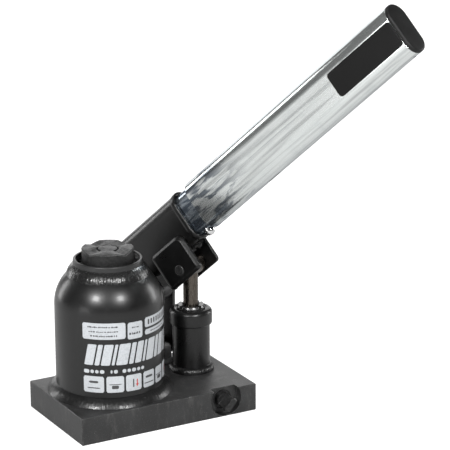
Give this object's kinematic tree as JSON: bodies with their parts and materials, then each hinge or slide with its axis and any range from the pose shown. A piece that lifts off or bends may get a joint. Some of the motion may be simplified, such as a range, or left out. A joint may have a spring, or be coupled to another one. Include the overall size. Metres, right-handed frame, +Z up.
{
  "type": "bottle jack",
  "caption": "Hydraulic bottle jack: welded tank on a flat block, lifting ram with screwed saddle, side pump with rocking lever and a telescopic oval handle.",
  "frame": {"origin": "centre of the base block's underside", "axes": "+Z up along the ram, +X along the base towards the pump, -Y towards the release valve"},
  "size_m": [0.261, 0.3006, 0.4017],
  "materials": {
    "black_enamel": "semi-gloss black enamel",
    "base_enamel": "satin black enamel on rough-sawn steel",
    "weld_enamel": "semi-gloss black enamel over weld beads",
    "pump_enamel": "satin black enamel, worn at the edges",
    "link_enamel": "black enamel on flat plate",
    "label_print": "printed sheet",
    "zinc": "bright zinc plating with draw marks",
    "zinc_dark": "zinc plated tube",
    "forged": "forged steel, phosphated",
    "steel": "machined steel",
    "oiled_steel": "oiled ground steel",
    "bright_steel": "polished steel",
    "black_plastic": "matt black",
    "seal": "oil-resistant rubber",
    "phosphate": "black phosphated steel"
  },
  "bodies": {
    "base": {"base_block": "base_enamel", "base_plugs": "base_enamel", "tank_shell": "black_enamel", "tank_weld": "weld_enamel", "neck_ring": "black_enamel", "neck_weld": "weld_enamel", "tank_label": "label_print", "filler_plug": "seal", "main_cylinder": "steel", "cylinder_gasket": "steel", "gland_nut": "phosphate", "ram_rod_seal": "seal", "ram_wiper": "seal", "pump_cylinder": "pump_enamel", "pump_foot_weld": "weld_enamel", "pump_collar": "pump_enamel", "pump_packing": "seal", "pump_gland": "phosphate", "fulcrum_lug": "link_enamel", "lug_weld": "weld_enamel", "lug_pin": "steel", "lug_pin_clips": "phosphate", "release_gland": "phosphate", "delivery_plug": "phosphate"},
    "ram": {"ram": "bright_steel", "ram_cup_seal": "seal", "cup_washer": "steel", "cup_screw": "steel"},
    "saddle": {"saddle": "forged"},
    "screw": {"extension_screw": "steel"},
    "plunger": {"pump_plunger": "oiled_steel"},
    "lever": {"lever_socket": "black_enamel", "socket_end_plate": "black_enamel", "lever_bracket": "black_enamel", "bracket_weld": "weld_enamel", "fulcrum_ear": "link_enamel", "fulcrum_pin": "steel", "fulcrum_pin_clips": "phosphate", "plunger_pin": "phosphate"},
    "link": {"link_plate_near": "link_enamel", "link_plate_far": "link_enamel"},
    "handle_inner": {"handle_inner_tube": "zinc_dark"},
    "handle_outer": {"handle_outer_tube": "zinc", "handle_end_cap": "black_plastic", "handle_pad": "black_plastic"},
    "button": {"snap_button": "bright_steel", "button_leaf": "steel"},
    "release_ball": {"release_ball": "bright_steel"},
    "release_spindle": {"release_spindle": "phosphate", "release_seal": "seal"},
    "suction_ball": {"suction_ball": "bright_steel"},
    "delivery_ball": {"delivery_ball": "bright_steel", "delivery_spring": "steel"}
  },
  "joints": [
    {"name": "ram_lift", "type": "slide", "parent": "base", "child": "ram", "axis": [0, 0, 1], "range_m": [0, 0.085]},
    {"name": "saddle_rise", "type": "slide", "parent": "ram", "child": "saddle", "axis": [0, 0, 1], "range_m": [0, 0.0561]},
    {"name": "screw_turn", "type": "hinge", "parent": "saddle", "child": "screw", "pos_m": [-0.0314, 0.0048, 0.1], "axis": [0, 0, 1], "range_deg": [0, 5040]},
    {"name": "piston_stroke", "type": "slide", "parent": "base", "child": "plunger", "axis": [0, 0, -1], "range_m": [0, 0.02496]},
    {"name": "lever_stroke", "type": "hinge", "parent": "plunger", "child": "lever", "pos_m": [0.0575, 0.0108, 0.128], "axis": [0.9031, 0.4294, 0], "range_deg": [0, 33]},
    {"name": "link_rock", "type": "hinge", "parent": "lever", "child": "link", "pos_m": [0.04247, 0.04241, 0.097], "axis": [0.9031, 0.4294, 0], "range_deg": [-44.4, 0]},
    {"name": "inner_slide", "type": "slide", "parent": "lever", "child": "handle_inner", "axis": [0.3191, -0.6711, 0.6691], "range_m": [0, 0.08]},
    {"name": "outer_slide", "type": "slide", "parent": "handle_inner", "child": "handle_outer", "axis": [0.3191, -0.6711, 0.6691], "range_m": [0, 0.2]},
    {"name": "button_press", "type": "slide", "parent": "handle_inner", "child": "button", "axis": [-0.2873, 0.6043, 0.7431], "range_m": [0, 0.006], "stiffness_N_per_m": 400},
    {"name": "valve_open", "type": "slide", "parent": "base", "child": "release_ball", "axis": [0, -1, 0], "range_m": [0, 0.003]},
    {"name": "valve_turn", "type": "hinge", "parent": "release_ball", "child": "release_spindle", "pos_m": [0.058, -0.05, 0.0143], "axis": [0, -1, 0], "range_deg": [0, 722]},
    {"name": "suction_lift", "type": "slide", "parent": "base", "child": "suction_ball", "axis": [0, 0, 1], "range_m": [0, 0.001]},
    {"name": "delivery_lift", "type": "slide", "parent": "base", "child": "delivery_ball", "axis": [0, 0, -1], "range_m": [0, 0.001], "stiffness_N_per_m": 60, "springref_m": -0.001, "deforming": ["delivery_spring"]}
  ],
  "couplings": [
    {"joint": "saddle_rise", "follows": "screw_turn", "m_per_rad": 0.00063662},
    {"joint": "piston_stroke", "follows": "lever_stroke", "m_per_rad": 0.043303},
    {"joint": "link_rock", "follows": "lever_stroke", "ratio": -1.3432},
    {"joint": "valve_turn", "follows": "valve_open", "rad_per_m": 4188.8}
  ]
}
